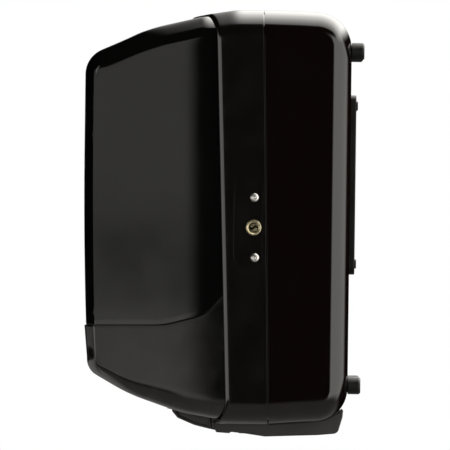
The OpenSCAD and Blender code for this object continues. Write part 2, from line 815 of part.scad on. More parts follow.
// ---------- cover group ----------

module cover_frame() {
    color([0.03, 0.03, 0.03]) {
        difference() {
            union() {
                difference() {
                    intersection() {
                        frame_form(0);
                        behind_frame_edge();
                        in_front_of_seam(seam_gap / 2);
                    }
                    frame_form(wall);
                }
                // ledge that the window and chin stop against
                intersection() {
                    on_seam() box([-120, 120], [ledge_y, ledge_y + 3], [-200, 200]);
                    difference() {
                        frame_form(wall - 0.1);
                        frame_form(wall + ledge_w);
                    }
                }
            }
            // room for the window under the frame's bowed lip
            intersection() {
                front_form(chin_proud - 0.3);
                on_seam() box([-150, 150], [-200, ledge_y], [-250, 250]);
            }
            box([-belly_half, belly_half + 2], [-160, -60], [-170, -140]);
            lock_recess();
            rod_x(80, 110, lock_y, lock_z, lock_face_r);
            for (p = rivet_places()) rod_x(80, 110, p[0], p[1], 1.6);
        }
        for (s = [-1, 1], z = [0.5 * knuckle_len + 0.4, -1.5 * knuckle_len - 0.4])
            housing_knuckle(s * hinge_z + z, -1);
    }
}

function rivet_places() = [[-81, 14.8], [-80.2, -30.2]];

module lock_recess() {
    translate([half_w - 0.8, 0, 0]) rotate([90, 0, 90]) linear_extrude(2) polygon(rounded([
        [-75.6, 24, 7], [-95.6, 24, 7], [-95.6, -35, 7], [-75.6, -35, 7]]));
}

module cover_window() {
    color([0.05, 0.05, 0.06, 0.6]) difference() {
        front_form(chin_proud);
        front_form(chin_proud + window_t);
        chin_region(0.3);
        on_seam() box([-150, 150], [ledge_y, 200], [-250, 250]);
    }
}

module chin_shell() {
    color([0.05, 0.05, 0.05]) difference() {
        intersection() {
            front_form(0);
            chin_region(0);
        }
        front_form(chin_t);
        on_seam() box([-150, 150], [ledge_y, 200], [-250, 250]);
        box([-belly_half, belly_half + 2], [-136.5, -60], [-170, -130]);
        for (x = [-40, 40]) rod_z(-150, -130, x, -143, 1.6);
    }
}

module lower_lip() {
    color([0.07, 0.07, 0.07]) difference() {
        union() {
            along_x(-tray_half, tray_half) polygon(rounded([
                [-150, -140.25, 0], [-136.4, -143.95, 0], [-136.3, -147.6, 0], [-133.7, -152.1, 3],
                [-121, -156.5, 40], [tray_front - 0.6, -159.1, 0], [tray_front - 0.6, -156.5, 0],
                [-121, -153.6, 30], [-131.5, -149.6, 3], [-133.6, -142.25, 1], [-150, -137.85, 0]]));
            for (x = [-tray_half, tray_half - 2.4]) along_x(x, x + 2.4) polygon([
                [-133, -145.6], [-117.6, -145.6], [-117.6, -149.3], [tray_front - 1.2, -149.3],
                [tray_front - 0.8, -157.6], [-121, -155], [-131.2, -151], [-133, -148.6]]);
        }
        for (x = [-40, 40]) rod_z(-150, -130, x, -143, 1.6);
    }
}

module lip_screws() {
    color("silver") for (x = [-40, 40]) {
        rod_z(-144.6, -138.7, x, -143, 1.6);
        rod_z(-138.7, -137, x, -143, 3);
    }
}

module lock_barrel() {
    color([0.7, 0.62, 0.4]) difference() {
        union() {
            rod_x(half_w - wall - 0.4, half_w + 0.4, lock_y, lock_z, lock_face_r);
            rod_x(86.4, half_w - wall, lock_y, lock_z, 4.7);
        }
        rod_x(80, 110, lock_y, lock_z, plug_r + run);
    }
}

module lock_nut() {
    color("silver") difference() {
        translate([93.2, lock_y, lock_z]) rotate([0, 90, 0]) cylinder(r = 7.6, h = 2.2, $fn = 6);
        rod_x(90, 99, lock_y, lock_z, 4.7);
    }
}

module lock_plate() {
    color("gray") difference() {
        along_x(frame_inner - 2, frame_inner) polygon(rounded([
            [-75.6, 20, 4], [-87, 20, 4], [-87, -36, 4], [-75.6, -36, 4]]));
        rod_x(80, 110, lock_y, lock_z, lock_face_r);
        for (p = rivet_places()) rod_x(80, 110, p[0], p[1], 1.6);
    }
}

module lock_rivets() {
    color("silver") for (p = rivet_places()) {
        rod_x(frame_inner - 2.8, half_w - 0.8, p[0], p[1], 1.6);
        rod_x(frame_inner - 3.4, frame_inner - 2, p[0], p[1], 2.4);
        translate([half_w - 0.8, p[0], p[1]]) rotate([0, 90, 0]) rotate_extrude()
            polygon([[0, 0], [rivet_r, 0], [rivet_r * 0.86, 0.7], [rivet_r * 0.55, 1.15], [0, 1.3]]);
    }
}

module lock_plug() {
    color([0.75, 0.68, 0.45]) difference() {
        union() {
            rod_x(86.4, half_w + 0.1, lock_y, lock_z, plug_r);
            translate([82, lock_y - 1.6, lock_z - 1.6]) cube([4.4, 3.2, 3.2]);
        }
        translate([half_w - 3, lock_y, lock_z]) rotate([-45, 0, 0]) {
            translate([0, -0.5, -2.6]) cube([5, 1, 5.2]);
            translate([0, -1.5, -2.6]) cube([5, 2, 1]);
            translate([0, -0.5, 1.6]) cube([5, 2, 1]);
        }
    }
}

module lock_cam() {
    color("silver") difference() {
        union() {
            rod_x(84, 86.2, lock_y, lock_z, 4.4);
            box([84, 86.2], [lock_y, lock_y + cam_reach], [lock_z - 3.6, lock_z + 3.6]);
        }
        translate([83, lock_y - 1.6, lock_z - 1.6]) cube([4.4, 3.2, 3.2]);
    }
}

module cam_screw() {
    color("silver") difference() {
        rod_x(80.4, 82, lock_y, lock_z, 3);
        box([80, 81], [lock_y - 3, lock_y + 3], [lock_z - 0.4, lock_z + 0.4]);
    }
}

back_housing();
wall_standoffs();
rear_access_plate();
rear_plate_screws();
hinge_pins();
lock_striker();
bottom_tray();
tray_screws();
sensor_lens();
status_led();
sensor_board();
drive_chassis();
chassis_screws();
guide_rods();
pump_cylinder();
pump_seal();
gear_plate_rear();
gear_plate_front();
gear_axles();
motor_case();
battery_box();
batteries();
battery_springs();
circuit_board();
board_parts();
battery_leads();
motor_leads();
switch_body();
tank_cradle();
cover_frame();
cover_window();
chin_shell();
lower_lip();
lip_screws();
lock_barrel();
lock_nut();
lock_plate();
lock_rivets();
lock_plug();
lock_cam();
cam_screw();
pump_carriage();
piston();
piston_seal();
nozzle();
pump_spring();
motor_pinion();
idler_gear();
output_gear();
soap_tank();
tank_top_plate();
liquid_soap();
tank_gauge();
tank_lid();
lid_pin();
battery_door();
switch_knob();
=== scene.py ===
import json
import math

import bmesh
import bpy
import numpy as np
from mathutils import Matrix, Vector


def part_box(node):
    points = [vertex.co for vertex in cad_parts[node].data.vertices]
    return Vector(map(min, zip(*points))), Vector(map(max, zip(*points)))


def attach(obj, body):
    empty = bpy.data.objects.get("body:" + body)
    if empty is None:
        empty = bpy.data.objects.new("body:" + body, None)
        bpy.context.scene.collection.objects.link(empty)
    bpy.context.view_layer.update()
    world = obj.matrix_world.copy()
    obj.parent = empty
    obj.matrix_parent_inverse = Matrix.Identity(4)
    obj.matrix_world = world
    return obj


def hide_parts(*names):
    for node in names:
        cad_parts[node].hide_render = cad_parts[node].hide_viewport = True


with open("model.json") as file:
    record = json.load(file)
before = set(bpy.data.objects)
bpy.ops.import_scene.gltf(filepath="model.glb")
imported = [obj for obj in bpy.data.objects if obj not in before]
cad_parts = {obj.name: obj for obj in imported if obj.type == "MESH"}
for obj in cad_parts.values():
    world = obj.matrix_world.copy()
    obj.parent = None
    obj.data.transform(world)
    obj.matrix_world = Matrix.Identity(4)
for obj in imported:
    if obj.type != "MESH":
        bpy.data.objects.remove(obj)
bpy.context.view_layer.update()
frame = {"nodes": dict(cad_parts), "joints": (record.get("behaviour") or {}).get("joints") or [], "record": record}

# Lengths are in millimetres until a mesh is made. X is across, -Y is the front, Z is up.
MM = 0.001

# ---------- driving sizes, from the frame ----------

HOUSING_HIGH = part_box("back_housing")[1] / MM
FRAME_LOW, FRAME_HIGH = (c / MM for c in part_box("cover_frame"))
TRAY_LOW, TRAY_HIGH = (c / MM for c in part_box("bottom_tray"))
PLATE_LOW, PLATE_HIGH = (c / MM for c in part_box("rear_access_plate"))
BARREL_LOW, BARREL_HIGH = (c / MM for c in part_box("lock_barrel"))

SHELL_W = HOUSING_HIGH.x                # half width of the side walls
BACK = HOUSING_HIGH.y                   # back face of the housing
TOP = FRAME_HIGH.z
BOTTOM = FRAME_LOW.z
WALL = 2.6                              # wall of the housing and cover frame
WALL_EDGE = 0.12                        # their softened edges
EDGE_R = 20                             # long edges, seen from the front
REAR_R = 15                             # upright rear corners, seen from above
SEAM = -72.2                            # seam at mid height
SEAM_SLOPE = math.tan(math.radians(1.27))
SEAM_GAP = 0.42                         # half the gap between housing and cover
EDGE = SEAM - 32.6                      # front edge of the frame's sides at mid height
EDGE_SLOPE = math.tan(math.radians(1.96))
FRONT_R = 2.2                           # round of that edge
BOW = 19.5                              # how far that edge bows forward in the middle
LEDGE = SEAM - 20                       # where the window and chin end
BELLY = (-64, 66)                       # open middle of the cover's underside
BELLY_FRONT = -136.5
WINDOW_T = 2.4
CHIN_T = 2.6
STEP = 0.9                              # chin stands proud of the window
HINGE = Vector(c / MM for c in next(
    j for j in frame["joints"] if j["name"] == "cover_hinge")["pos_m"])
HINGE_HEIGHT = 105
KNUCKLE_R = 3.5
KNUCKLE_LEN = 10
HOLES = [(x, z) for x in (-75, 75) for z in (-125, 125)]    # wall holes
HOLE_R = 2.6
LOCK_Y, LOCK_Z = (BARREL_LOW.y + BARREL_HIGH.y) / 2, (BARREL_LOW.z + BARREL_HIGH.z) / 2
LOCK_R = (BARREL_HIGH.y - BARREL_LOW.y) / 2
RIVETS = ((-81, 14.8), (-80.2, -30.2))
RIVET_R = 3.2
POCKET_D = 0.8                          # depth of the pocket round the lock and rivets
POCKET_LOW, POCKET_HIGH = (-96, -35.4), (-75.2, 24)
ARC_STEPS = 28                          # pieces of a rounded corner, unless it is given
CORNER_RINGS = (3, 9, 6)                # rings before, round and after a line's last corner
# corners of a square, and the corners of a rounded rectangle in the order of their arcs
SQUARE = ((-1, -1), (1, -1), (1, 1), (-1, 1))
QUARTERS = ((1, 1), (-1, 1), (-1, -1), (1, -1))


# ---------- lines ----------

def rounded(corners, steps=ARC_STEPS):
    """Points along an open line of (a, b, radius) corners, with round ones as arcs."""
    out = [np.array(corners[0][:2], float)]
    for (a, b, c) in zip(corners, corners[1:], corners[2:]):
        before, here, after = (np.array(p[:2], float) for p in (a, b, c))
        u = (before - here) / np.linalg.norm(before - here)
        v = (after - here) / np.linalg.norm(after - here)
        half = math.acos(np.clip(u @ v, -1, 1)) / 2
        if b[2] <= 0 or half > math.pi / 2 - 1e-4:
            out.append(here)
            continue
        middle = here + (u + v) / np.linalg.norm(u + v) * b[2] / math.sin(half)
        start = here + u * b[2] / math.tan(half) - middle
        end = here + v * b[2] / math.tan(half) - middle
        a0 = math.atan2(start[1], start[0])
        turn = (math.atan2(end[1], end[0]) - a0 + 3 * math.pi) % (2 * math.pi) - math.pi
        for i in range(steps + 1):
            angle = a0 + turn * i / steps
            out.append(middle + b[2] * np.array([math.cos(angle), math.sin(angle)]))
    out.append(np.array(corners[-1][:2], float))
    return np.array(out)


def value_at(line, depth):
    """The second coordinate of a line where its first is depth."""
    order = np.argsort(line[:, 0], kind="stable")
    return np.interp(depth, line[order, 0], line[order, 1])


def along(line, depths, split):
    """Depths and values on a forward line: at the given depths, then closely round its last corner."""
    first = np.column_stack([depths, value_at(line, depths)])
    rest = np.vstack([[split, value_at(line, split)], line[line[:, 0] < split - 1e-9]])
    reach = np.concatenate([[0], np.cumsum(np.linalg.norm(np.diff(rest, axis=0), axis=1))])
    marks = [0, reach[-ARC_STEPS - 2], reach[-2], reach[-1]]
    at = np.concatenate([np.linspace(a, b, n + 1)[1:]
                         for a, b, n in zip(marks, marks[1:], CORNER_RINGS)])
    second = np.column_stack([np.interp(at, reach, rest[:, 0]), np.interp(at, reach, rest[:, 1])])
    return np.vstack([first, second])


def round_rectangle(middle, half, r):
    """Points round a rectangle with corners of radius r."""
    for quarter, (sa, sb) in enumerate(QUARTERS):
        for i in range(9):
            turn = math.radians(90 * quarter + 90 * i / 8)
            yield (middle[0] + sa * (half[0] - r) + r * math.cos(turn),
                   middle[1] + sb * (half[1] - r) + r * math.sin(turn))


def smoothstep(t):
    t = np.clip(t, 0, 1)
    return t * t * (3 - 2 * t)


# ---------- cross-sections ----------

# Each part of a section runs from one row to another. A row is the share of the half width, the share of
# the height, the corner's angle and which floor strip it is on: 1 right, -1 left, 2 the middle, 0 none.
# The last two numbers are how many points are left out at the part's start and end.
PARTS = {
    "floor_right": ((0, 0, -90, 1), (1, 0, -90, 1), 0, 1),
    "floor_left": ((1, 0, 270, -1), (0, 0, 270, -1), 1, 0),
    "floor_middle": ((0, 0, 270, 2), (1, 0, 270, 2), 1, 1),
    "corner_low_right": ((1, 0, -90, 0), (1, 0, 0, 0), 0, 0),
    "wall_right": ((1, 0, 0, 0), (1, 1, 0, 0), 0, 0),
    "corner_high_right": ((1, 1, 0, 0), (1, 1, 90, 0), 0, 0),
    "roof": ((1, 1, 90, 0), (-1, 1, 90, 0), 0, 0),
    "corner_high_left": ((-1, 1, 90, 0), (-1, 1, 180, 0), 0, 0),
    "wall_left": ((-1, 1, 180, 0), (-1, 0, 180, 0), 0, 0),
    "corner_low_left": ((-1, 0, 180, 0), (-1, 0, 270, 0), 0, 0),
}
FLOOR_LIMITS = (-0.85, 0.86)            # the open middle ends here where the section is narrow


def around(corner, wall, roof, middle, floor=5):
    """The parts all the way round from the floor's middle. Without middle the floor stays open."""
    parts = [("floor_right", floor), ("corner_low_right", corner), ("wall_right", wall),
             ("corner_high_right", corner), ("roof", roof), ("corner_high_left", corner),
             ("wall_left", wall), ("corner_low_left", corner), ("floor_left", floor)]
    return parts + [("floor_middle", middle)] if middle else parts


class Section:
    """A rounded rectangle's points, in order, as fractions that fit any width, top and bottom."""

    def __init__(self, parts):
        rows = []
        for kind, count in parts:
            first, last, skip_start, skip_end = PARTS[kind]
            for i in range(skip_start, count + 1 - skip_end):
                fx, fz, phi, floor = (a + (b - a) * i / count for a, b in zip(first, last))
                row = (fx, fz, math.radians(phi), floor)
                if not rows or max(abs(a - b) for a, b in zip(rows[-1], row)) > 1e-9:
                    rows.append(row)
        self.fx, self.fz, self.phi, self.floor = np.array(rows, float).T
        self.count = len(rows)

    def place(self, w, t, b, rt, rb, low=None, high=None):
        """X and Z of every point. low and high replace the ends of the side walls."""
        radius = np.where(np.sin(self.phi) > 1e-9, rt, rb)
        z_low = b + rb if low is None else low
        z_high = t - rt if high is None else high
        x = self.fx * (w - radius) + radius * np.cos(self.phi)
        flat_wall = (np.abs(np.sin(self.phi)) < 1e-9) & (self.floor == 0)
        x = np.where(flat_wall, np.sign(np.cos(self.phi)) * w, x)
        z = z_low + (z_high - z_low) * self.fz + radius * np.sin(self.phi)
        inner = w - rb
        left, right = max(BELLY[0], FLOOR_LIMITS[0] * inner), min(BELLY[1], FLOOR_LIMITS[1] * inner)
        x = np.where(self.floor == 1, right + (inner - right) * self.fx, x)
        x = np.where(self.floor == -1, left + (-inner - left) * self.fx, x)
        x = np.where(self.floor == 2, left + (right - left) * self.fx, x)
        z = np.where(self.floor != 0, b, z)
        return x, z


# ---------- meshes ----------

MERGE = 0.002                           # points closer than this are joined
BOW_STEPS = 8                           # pieces of a bowed length
BOW_REACH = 1.5                         # how near a point must be to the edge to bow with it


def new_object(name, mesh):
    obj = bpy.data.objects.new(name, mesh)
    bpy.context.scene.collection.objects.link(obj)
    return obj


def mesh_of(bm, name):
    mesh = bpy.data.meshes.new(name)
    bm.to_mesh(mesh)
    bm.free()
    return mesh


def grid_mesh(bm, points, wrap=False, skip=None):
    """Quads over a grid of points, ring by ring."""
    rings, count = points.shape[:2]
    verts = [[bm.verts.new(points[k, j] * MM) for j in range(count)] for k in range(rings)]
    for k in range(rings - 1):
        for j in range(count if wrap else count - 1):
            if skip is not None and skip(k, j):
                continue
            n = (j + 1) % count
            bm.faces.new((verts[k][j], verts[k][n], verts[k + 1][n], verts[k + 1][j]))
    return verts


def finish_mesh(bm, name, outward_from):
    """Joins the seams, turns an open skin outwards and makes the mesh."""
    bmesh.ops.remove_doubles(bm, verts=bm.verts, dist=MERGE * MM)
    loose = [v for v in bm.verts if not v.link_faces]
    bmesh.ops.delete(bm, geom=loose, context="VERTS")
    bmesh.ops.recalc_face_normals(bm, faces=bm.faces)
    centre = Vector(outward_from) * MM
    facing = sum(f.normal.dot(f.calc_center_median() - centre) * f.calc_area() for f in bm.faces)
    if facing < 0:
        bmesh.ops.reverse_faces(bm, faces=bm.faces)
    return mesh_of(bm, name)


def settle(obj, sharp=32):
    """Applies the modifiers and shades the result smooth, apart from its real edges."""
    graph = bpy.context.evaluated_depsgraph_get()
    mesh = bpy.data.meshes.new_from_object(obj.evaluated_get(graph))
    mesh.name = obj.name
    obj.modifiers.clear()
    obj.data = mesh
    mesh.shade_smooth()
    mesh.set_sharp_from_angle(angle=math.radians(sharp))
    obj.modifiers.new("face_normals", "WEIGHTED_NORMAL").keep_sharp = True
    return obj


def thicken(obj, thickness, edge=0.35):
    solid = obj.modifiers.new("wall", "SOLIDIFY")
    solid.thickness = thickness * MM
    solid.offset = -1
    solid.use_quality_normals = True
    soften(obj, edge)


def soften(obj, edge, segments=3, angle=40):
    bevel = obj.modifiers.new("soft_edges", "BEVEL")
    bevel.width = edge * MM
    bevel.segments = segments
    bevel.limit_method = "ANGLE"
    bevel.angle_limit = math.radians(angle)
    bevel.use_clamp_overlap = False


def cut(obj, cutter):
    tool = obj.modifiers.new("cut", "BOOLEAN")
    tool.operation = "DIFFERENCE"
    tool.solver = "EXACT"
    tool.object = cutter
    graph = bpy.context.evaluated_depsgraph_get()
    mesh = bpy.data.meshes.new_from_object(obj.evaluated_get(graph))
    obj.modifiers.clear()
    obj.data = mesh
    bpy.data.objects.remove(cutter)


def loft(name, outlines):
    """A closed solid through closed outlines of equal length, capped at both ends."""
    bm = bmesh.new()
    rings = [[bm.verts.new(Vector(p) * MM) for p in outline] for outline in outlines]
    count = len(rings[0])
    for a, b in zip(rings, rings[1:]):
        for j in range(count):
            bm.faces.new((a[j], a[(j + 1) % count], b[(j + 1) % count], b[j]))
    bm.faces.new(rings[0][::-1])
    bm.faces.new(rings[-1])
    bmesh.ops.recalc_face_normals(bm, faces=bm.faces)
    return new_object(name, mesh_of(bm, name))


def prism_x(name, outline, x0, x1, bow=0.0, edge=0.0):
    """A length along X. Points near depth edge bow forward in the middle."""
    rings = []
    steps = BOW_STEPS if bow else 1
    for i in range(steps + 1):
        x = x0 + (x1 - x0) * i / steps
        forward = bow * (1 - ((2 * x - x0 - x1) / (x1 - x0)) ** 2)
        rings.append([(x, y - (forward if abs(y - edge) < BOW_REACH else 0), z) for y, z in outline])
    return loft(name, rings)


def lathe(name, profile, axis, at, steps=64):
    """A turned solid: profile is (distance along the axis, radius). A closed profile makes a tube."""
    other = {"x": ("y", "z"), "y": ("z", "x"), "z": ("x", "y")}[axis]
    spot = dict(zip("xyz", at))
    bm = bmesh.new()
    rings = []
    for reach, radius in profile:
        ring = []
        for i in range(steps if radius > 0 else 1):
            turn = 2 * math.pi * i / steps
            p = dict(spot)
            p[axis] += reach
            p[other[0]] += radius * math.cos(turn)
            p[other[1]] += radius * math.sin(turn)
            ring.append(bm.verts.new(Vector((p["x"], p["y"], p["z"])) * MM))
        rings.append(ring)
    for a, b in zip(rings, rings[1:]):
        for i in range(steps):
            n = (i + 1) % steps
            corners = [a[i % len(a)], a[n % len(a)], b[n % len(b)], b[i % len(b)]]
            unique = [v for k, v in enumerate(corners) if v not in corners[:k]]
            if len(unique) > 2:
                bm.faces.new(unique)
    ends = [] if profile[0] == profile[-1] else [rings[0], rings[-1]]
    for ring in ends:
        if len(ring) > 1:
            bm.faces.new(ring)
    bmesh.ops.remove_doubles(bm, verts=bm.verts, dist=MERGE * MM)
    bmesh.ops.recalc_face_normals(bm, faces=bm.faces)
    return new_object(name, mesh_of(bm, name))


def join(name, objects):
    """One object from several closed solids."""
    bm = bmesh.new()
    for obj in objects:
        bm.from_mesh(obj.data)
        bpy.data.objects.remove(obj)
    return new_object(name, mesh_of(bm, name))


# ---------- procedural materials ----------

def map_range(tree, value, start, end, low=0.0, high=1.0, kind="LINEAR"):
    node = tree.nodes.new("ShaderNodeMapRange")
    node.interpolation_type = kind
    for socket, number in (("From Min", start), ("From Max", end), ("To Min", low), ("To Max", high)):
        node.inputs[socket].default_value = number
    tree.links.new(value, node.inputs["Value"])
    return node.outputs["Result"]


class Finish:
    """A principled material with object-space noise that stays put on the moving piece."""

    def __init__(self, name, colour, roughness, metallic=0.0, ior=1.5):
        self.name = name
        self.material = bpy.data.materials.new(name)
        self.material.use_nodes = True
        self.tree = self.material.node_tree
        self.shader = self.tree.nodes["Principled BSDF"]
        self.shader.inputs["Metallic"].default_value = metallic
        self.shader.inputs["IOR"].default_value = ior
        self.place = self.tree.nodes.new("ShaderNodeTexCoord").outputs["Object"]
        self.set_colour(colour, tuple(min(1, c * 1.3) for c in colour), 90)
        self.set_roughness(roughness * 0.85, min(1, roughness * 1.2), 60)
        self.normal = None

    def noise(self, scale, detail=3.0, stretch=None):
        vector = self.place
        if stretch:
            mapping = self.tree.nodes.new("ShaderNodeMapping")
            mapping.inputs["Scale"].default_value = stretch
            self.tree.links.new(self.place, mapping.inputs["Vector"])
            vector = mapping.outputs["Vector"]
        node = self.tree.nodes.new("ShaderNodeTexNoise")
        node.inputs["Scale"].default_value = scale
        node.inputs["Detail"].default_value = detail
        self.tree.links.new(vector, node.inputs["Vector"])
        return node.outputs["Fac"]

    def spread(self, value, low, high, start=0.3, end=0.7):
        return map_range(self.tree, value, start, end, low, high)

    def mix(self, factor, a, b):
        node = self.tree.nodes.new("ShaderNodeMix")
        node.data_type = "RGBA"
        for socket, value in ((node.inputs[6], a), (node.inputs[7], b)):
            if isinstance(value, tuple):
                socket.default_value = (*value, 1)
            else:
                self.tree.links.new(value, socket)
        self.tree.links.new(factor, node.inputs[0])
        return node.outputs[2]

    def into(self, socket, value):
        self.tree.links.new(value, self.shader.inputs[socket])

    def set_colour(self, a, b, scale, start=0.35, end=0.7):
        self.base = self.mix(self.spread(self.noise(scale, 4), 0, 1, start, end), a, b)
        self.into("Base Color", self.base)
        return self

    def set_roughness(self, low, high, scale, stretch=None):
        self.into("Roughness", self.spread(self.noise(scale, 4, stretch), low, high))
        return self

    def bump(self, scale, depth, strength=1.0, detail=2.0, stretch=None):
        node = self.tree.nodes.new("ShaderNodeBump")
        node.inputs["Strength"].default_value = strength
        node.inputs["Distance"].default_value = depth * MM
        self.tree.links.new(self.noise(scale, detail, stretch), node.inputs["Height"])
        if self.normal is not None:
            self.tree.links.new(self.normal, node.inputs["Normal"])
        self.normal = node.outputs["Normal"]
        self.into("Normal", self.normal)
        return self

    def specks(self, colour, scale, amount):
        """Fine dust: small spots where a noise peaks."""
        spots = self.spread(self.noise(scale, 2), 0, amount, 0.70, 0.76)
        self.base = self.mix(spots, self.base, colour)
        self.into("Base Color", self.base)
        return self

    def stripes(self, colour, axis, period, share):
        """Bands of a second colour along one axis, period in millimetres."""
        split = self.tree.nodes.new("ShaderNodeSeparateXYZ")
        self.tree.links.new(self.place, split.inputs[0])
        ramp = self.tree.nodes.new("ShaderNodeMath")
        ramp.operation = "PINGPONG"
        ramp.inputs[1].default_value = period * MM / 2
        self.tree.links.new(split.outputs[axis], ramp.inputs[0])
        edge = period * MM / 2 * share
        band = self.spread(ramp.outputs[0], 1, 0, edge * 0.96, edge * 1.04)
        self.base = self.mix(band, self.base, colour)
        self.into("Base Color", self.base)
        return self

    def socket(self, name, value):
        self.shader.inputs[name].default_value = value
        return self


def make_finishes():
    made = {}

    def add(finish):
        made[finish.name] = finish.material

    add(Finish("gloss_black", (0.0016, 0.0009, 0.0007), 0.075)
        .set_roughness(0.06, 0.10, 35).bump(130, 0.010, 0.25)
        .specks((0.03, 0.027, 0.024), 1500, 0.12))
    add(Finish("band_black", (0.0015, 0.0013, 0.0010), 0.12)
        .set_roughness(0.10, 0.16, 40).bump(130, 0.010, 0.25)
        .specks((0.03, 0.027, 0.024), 1500, 0.15))
    add(Finish("satin_black", (0.002, 0.002, 0.0018), 0.17)
        .set_colour((0.0010, 0.0010, 0.0009), (0.0045, 0.0045, 0.0042), 70)
        .set_roughness(0.11, 0.17, 110).bump(1700, 0.010, 0.4).bump(160, 0.04, 0.20))
    add(Finish("tray_black", (0.0060, 0.0052, 0.0046), 0.42)
        .set_roughness(0.36, 0.5, 80).bump(1900, 0.02, 0.5).bump(120, 0.04, 0.25))
    add(Finish("smoked_window", (0.0010, 0.0012, 0.0010), 0.05)
        .set_roughness(0.03, 0.085, 28).bump(45, 0.02, 0.12)
        .specks((0.04, 0.04, 0.037), 1800, 0.12).socket("Transmission Weight", 0.05))
    add(Finish("dark_grey_plastic", (0.030, 0.030, 0.033), 0.45)
        .bump(1500, 0.02, 0.5))
    add(Finish("natural_plastic", (0.62, 0.60, 0.53), 0.38)
        .set_colour((0.62, 0.60, 0.53), (0.70, 0.68, 0.62), 60).bump(900, 0.008, 0.35)
        .socket("Subsurface Weight", 0.12).socket("Subsurface Scale", 0.002))
    add(Finish("steel", (0.55, 0.55, 0.53), 0.26, 1.0)
        .set_colour((0.50, 0.50, 0.48), (0.62, 0.61, 0.58), 300)
        .set_roughness(0.2, 0.36, 900, (1, 1, 0.15)).bump(2600, 0.004, 0.4))
    add(Finish("rivet_metal", (0.58, 0.57, 0.54), 0.24, 1.0)
        .set_colour((0.44, 0.43, 0.41), (0.66, 0.65, 0.62), 700)
        .set_roughness(0.2, 0.4, 1400).bump(2200, 0.006, 0.5))
    add(Finish("black_steel", (0.018, 0.017, 0.016), 0.42, 1.0)
        .set_roughness(0.34, 0.5, 900).bump(2600, 0.004, 0.4))
    add(Finish("lock_brass", (0.46, 0.40, 0.24), 0.27, 1.0)
        .set_colour((0.30, 0.25, 0.14), (0.62, 0.56, 0.38), 420)
        .set_roughness(0.2, 0.42, 1300).bump(2400, 0.006, 0.6))
    add(Finish("lock_core", (0.20, 0.17, 0.10), 0.34, 1.0)
        .set_colour((0.13, 0.11, 0.065), (0.26, 0.23, 0.14), 420)
        .set_roughness(0.26, 0.45, 1300).bump(2400, 0.006, 0.6))
    add(Finish("brass_gear", (0.72, 0.52, 0.20), 0.22, 1.0)
        .set_colour((0.62, 0.44, 0.17), (0.78, 0.60, 0.28), 500).bump(1800, 0.004, 0.4))
    add(Finish("rubber", (0.0016, 0.0015, 0.0014), 0.5)
        .set_roughness(0.36, 0.5, 150).bump(1300, 0.02, 0.6).bump(90, 0.05, 0.25)
        .socket("Specular IOR Level", 0.22))
    add(Finish("plate_black", (0.0016, 0.0015, 0.0014), 0.4)
        .set_roughness(0.34, 0.46, 90).bump(1500, 0.012, 0.4).socket("Specular IOR Level", 0.2))
    add(Finish("sensor_red", (0.05, 0.003, 0.006), 0.06)
        .bump(160, 0.01, 0.2).socket("Transmission Weight", 0.2))
    add(Finish("led_white", (0.72, 0.75, 0.70), 0.2)
        .bump(700, 0.01, 0.3).socket("Subsurface Weight", 0.3).socket("Subsurface Scale", 0.001))
    add(Finish("board_green", (0.008, 0.075, 0.025), 0.3)
        .set_colour((0.006, 0.055, 0.02), (0.02, 0.12, 0.04), 500, 0.48, 0.52).bump(700, 0.02, 0.5))
    add(Finish("chip_black", (0.012, 0.012, 0.013), 0.4).bump(1600, 0.015, 0.6))
    add(Finish("cell_wrap", (0.40, 0.24, 0.04), 0.2)
        .set_colour((0.36, 0.21, 0.03), (0.48, 0.30, 0.06), 40)
        .stripes((0.012, 0.012, 0.012), 1, 64, 0.45).bump(120, 0.03, 0.3).socket("Metallic", 0.35))
    add(Finish("lead_red", (0.42, 0.015, 0.01), 0.4).bump(1500, 0.01, 0.4))
    add(Finish("lead_blue", (0.02, 0.05, 0.38), 0.4).bump(1500, 0.01, 0.4))
    add(Finish("tank_plastic", (0.66, 0.70, 0.69), 0.42)
        .set_colour((0.62, 0.67, 0.66), (0.72, 0.75, 0.73), 30).bump(220, 0.05, 0.4)
        .socket("Transmission Weight", 0.45).socket("Subsurface Weight", 0.2)
        .socket("Subsurface Scale", 0.004))
    add(Finish("soap", (0.72, 0.36, 0.44), 0.18, ior=1.36)
        .set_colour((0.68, 0.33, 0.41), (0.80, 0.48, 0.54), 55).bump(60, 0.05, 0.3)
        .socket("Subsurface Weight", 0.3).socket("Subsurface Scale", 0.006))
    add(Finish("gauge_ink", (0.05, 0.06, 0.08), 0.5).bump(1200, 0.01, 0.5))
    add(Finish("switch_red", (0.38, 0.012, 0.012), 0.22).bump(500, 0.01, 0.3))
    return made


FINISH = make_finishes()
NODE_FINISH = {s["node"]: s["material_slot"] for s in frame["record"]["subparts"]}
NODE_FINISH["rear_plate_screws"] = "black_steel"


def dress(obj, finish, body=None, stands_for=()):
    obj.data.materials.clear()
    obj.data.materials.append(FINISH[finish])
    if body:
        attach(obj, body)
        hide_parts(*stands_for)
    return obj


# ---------- back housing ----------

CURL = 120                              # the top and bottom lines turn down the back face within this
LEAN_RUN = 34                           # from the seam's lean to upright over this depth
TONGUE_T = 1.2


def knuckle(z_low, side):
    """A hinge knuckle and its web: side is 1 on the housing and -1 on the cover."""
    steps = 20
    arc = [(HINGE.x + KNUCKLE_R * math.cos(a), KNUCKLE_R * math.sin(a))
           for a in (math.radians(side * (90 + 230 * i / steps)) for i in range(steps + 1))]
    web = [(-SHELL_W + 2, side * 0.4), (-SHELL_W + 2, side * KNUCKLE_R)]
    outline = arc + web
    rings = []
    for z in (z_low, z_low + KNUCKLE_LEN):
        rings.append([(x, SEAM + y - z * SEAM_SLOPE, z) for x, y in outline])
    obj = loft("knuckle", rings)
    soften(obj, 0.3, 2)
    return settle(obj)


